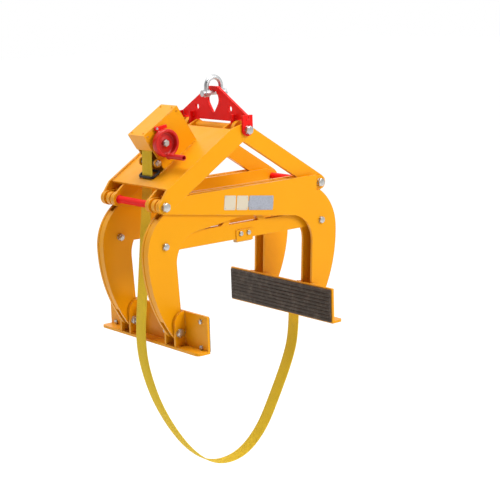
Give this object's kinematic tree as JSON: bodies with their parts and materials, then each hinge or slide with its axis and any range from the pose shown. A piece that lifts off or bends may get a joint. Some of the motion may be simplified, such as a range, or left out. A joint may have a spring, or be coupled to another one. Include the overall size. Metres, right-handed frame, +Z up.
{
  "type": "block lifting tongs",
  "caption": "Scissor lifting tongs with padded jaws that close under load, a shackle to hang from, a depth stop and a hand-wheel winch for a securing strap.",
  "frame": {"origin": "inside of the shackle bow's crown, where the crane hook bears", "axes": "+Z up, +X from the left jaw to the right jaw, +Y along the pivot bolts, from the hand-wheel side to the far side"},
  "size_m": [0.732, 0.504, 1.2405],
  "materials": {
    "orange_paint": "semi-gloss enamel",
    "red_paint": "semi-gloss enamel",
    "zinc_steel": "zinc plated",
    "bronze": "turned",
    "pad_rubber": "matt",
    "black_steel": "satin",
    "webbing": "woven webbing",
    "plate_metal": "satin, blank"
  },
  "bodies": {
    "shackle": {"shackle_bow": "zinc_steel", "shackle_pin": "zinc_steel"},
    "suspension": {"suspension_plate": "red_paint", "clevis_ears": "red_paint", "top_pivot_bolts": "zinc_steel", "top_pivot_spacers": "orange_paint", "securing_strap": "webbing"},
    "winch_link": {"winch_link_outer_plates": "orange_paint", "winch_link_inner_plates": "orange_paint", "winch_deck": "orange_paint", "left_cross_tube": "red_paint", "left_knuckle_bolts": "zinc_steel", "left_knuckle_spacers": "orange_paint", "winch_side_plates": "orange_paint", "winch_cover": "orange_paint", "guide_roller": "zinc_steel", "guide_roller_bolt": "zinc_steel", "winch_bushes": "bronze", "strap_guide_ring": "black_steel", "pawl_pin": "zinc_steel"},
    "winch_rotor": {"winch_shaft": "zinc_steel", "strap_drum": "zinc_steel", "strap_roll": "webbing", "ratchet_wheel": "zinc_steel", "hand_wheel": "red_paint", "crank_grip": "red_paint"},
    "pawl": {"ratchet_pawl": "red_paint"},
    "right_link": {"right_link_bars": "orange_paint", "right_cross_tube": "red_paint", "right_knuckle_bolts": "zinc_steel"},
    "right_lever": {"right_lever_outer_plates": "orange_paint", "right_lever_inner_plates": "orange_paint", "right_arm_webs": "orange_paint", "right_arm_bolts": "zinc_steel", "right_arm_spacers": "zinc_steel", "centre_pins": "zinc_steel", "blank_data_plates": "plate_metal"},
    "left_lever": {"left_lever_outer_plates": "orange_paint", "left_lever_inner_plates": "orange_paint", "left_arm_webs": "orange_paint", "left_arm_bolts": "zinc_steel", "left_arm_spacers": "zinc_steel"},
    "right_jaw": {"right_jaw_shoe": "orange_paint", "right_jaw_pad": "pad_rubber", "right_jaw_pad_screws": "zinc_steel", "right_jaw_cheeks": "orange_paint", "right_jaw_pivot_bolts": "zinc_steel", "right_jaw_spacers": "zinc_steel", "strap_eye": "webbing"},
    "left_jaw": {"left_jaw_shoe": "orange_paint", "left_jaw_pad": "pad_rubber", "left_jaw_pad_screws": "zinc_steel", "left_jaw_cheeks": "orange_paint", "left_jaw_pivot_bolts": "zinc_steel", "left_jaw_spacers": "zinc_steel"},
    "depth_stop": {"stop_bars": "orange_paint", "stop_yokes": "orange_paint", "stop_pads": "pad_rubber", "stop_pad_brackets": "orange_paint", "stop_pad_bolts": "zinc_steel"}
  },
  "joints": [
    {"name": "suspension_swing", "type": "hinge", "parent": "shackle", "child": "suspension", "pos_m": [0, 0, -0.04], "axis": [1, 0, 0], "range_deg": [-25, 25]},
    {"name": "winch_link_swing", "type": "hinge", "parent": "suspension", "child": "winch_link", "pos_m": [0, 0, -0.145], "axis": [0, 1, 0], "range_deg": [-6, 2]},
    {"name": "right_lever_fold", "type": "hinge", "parent": "winch_link", "child": "right_lever", "pos_m": [-0.31, 0, -0.341], "axis": [0, 1, 0], "range_deg": [-1.31, 19.65], "deforming": ["securing_strap"]},
    {"name": "right_link_swing", "type": "hinge", "parent": "suspension", "child": "right_link", "pos_m": [0, 0, -0.145], "axis": [0, 1, 0], "range_deg": [-2, 6]},
    {"name": "left_lever_fold", "type": "hinge", "parent": "right_link", "child": "left_lever", "pos_m": [0.31, 0, -0.341], "axis": [0, 1, 0], "range_deg": [-21, 2]},
    {"name": "depth_stop_level", "type": "hinge", "parent": "right_lever", "child": "depth_stop", "pos_m": [0, 0, -0.371], "axis": [0, 1, 0], "range_deg": [-16, 2]},
    {"name": "right_jaw_tilt", "type": "hinge", "parent": "right_lever", "child": "right_jaw", "pos_m": [0.272, 0, -0.723], "axis": [0, 1, 0], "range_deg": [-18, 3]},
    {"name": "left_jaw_tilt", "type": "hinge", "parent": "left_lever", "child": "left_jaw", "pos_m": [-0.272, 0, -0.723], "axis": [0, 1, 0], "range_deg": [-3, 18]},
    {"name": "winch_crank", "type": "hinge", "parent": "winch_link", "child": "winch_rotor", "pos_m": [-0.23223, 0, -0.16879], "axis": [0, 1, 0], "continuous": true},
    {"name": "pawl_lift", "type": "hinge", "parent": "winch_link", "child": "pawl", "pos_m": [-0.25327, 0, -0.12564], "axis": [0, 1, 0], "range_deg": [-22, 0]}
  ],
  "couplings": [
    {"joint": "winch_link_swing", "follows": "right_lever_fold", "ratio": -0.23664},
    {"joint": "right_link_swing", "follows": "right_lever_fold", "ratio": 0.23664},
    {"joint": "left_lever_fold", "follows": "right_lever_fold", "ratio": -1},
    {"joint": "depth_stop_level", "follows": "right_lever_fold", "ratio": -0.76336}
  ]
}
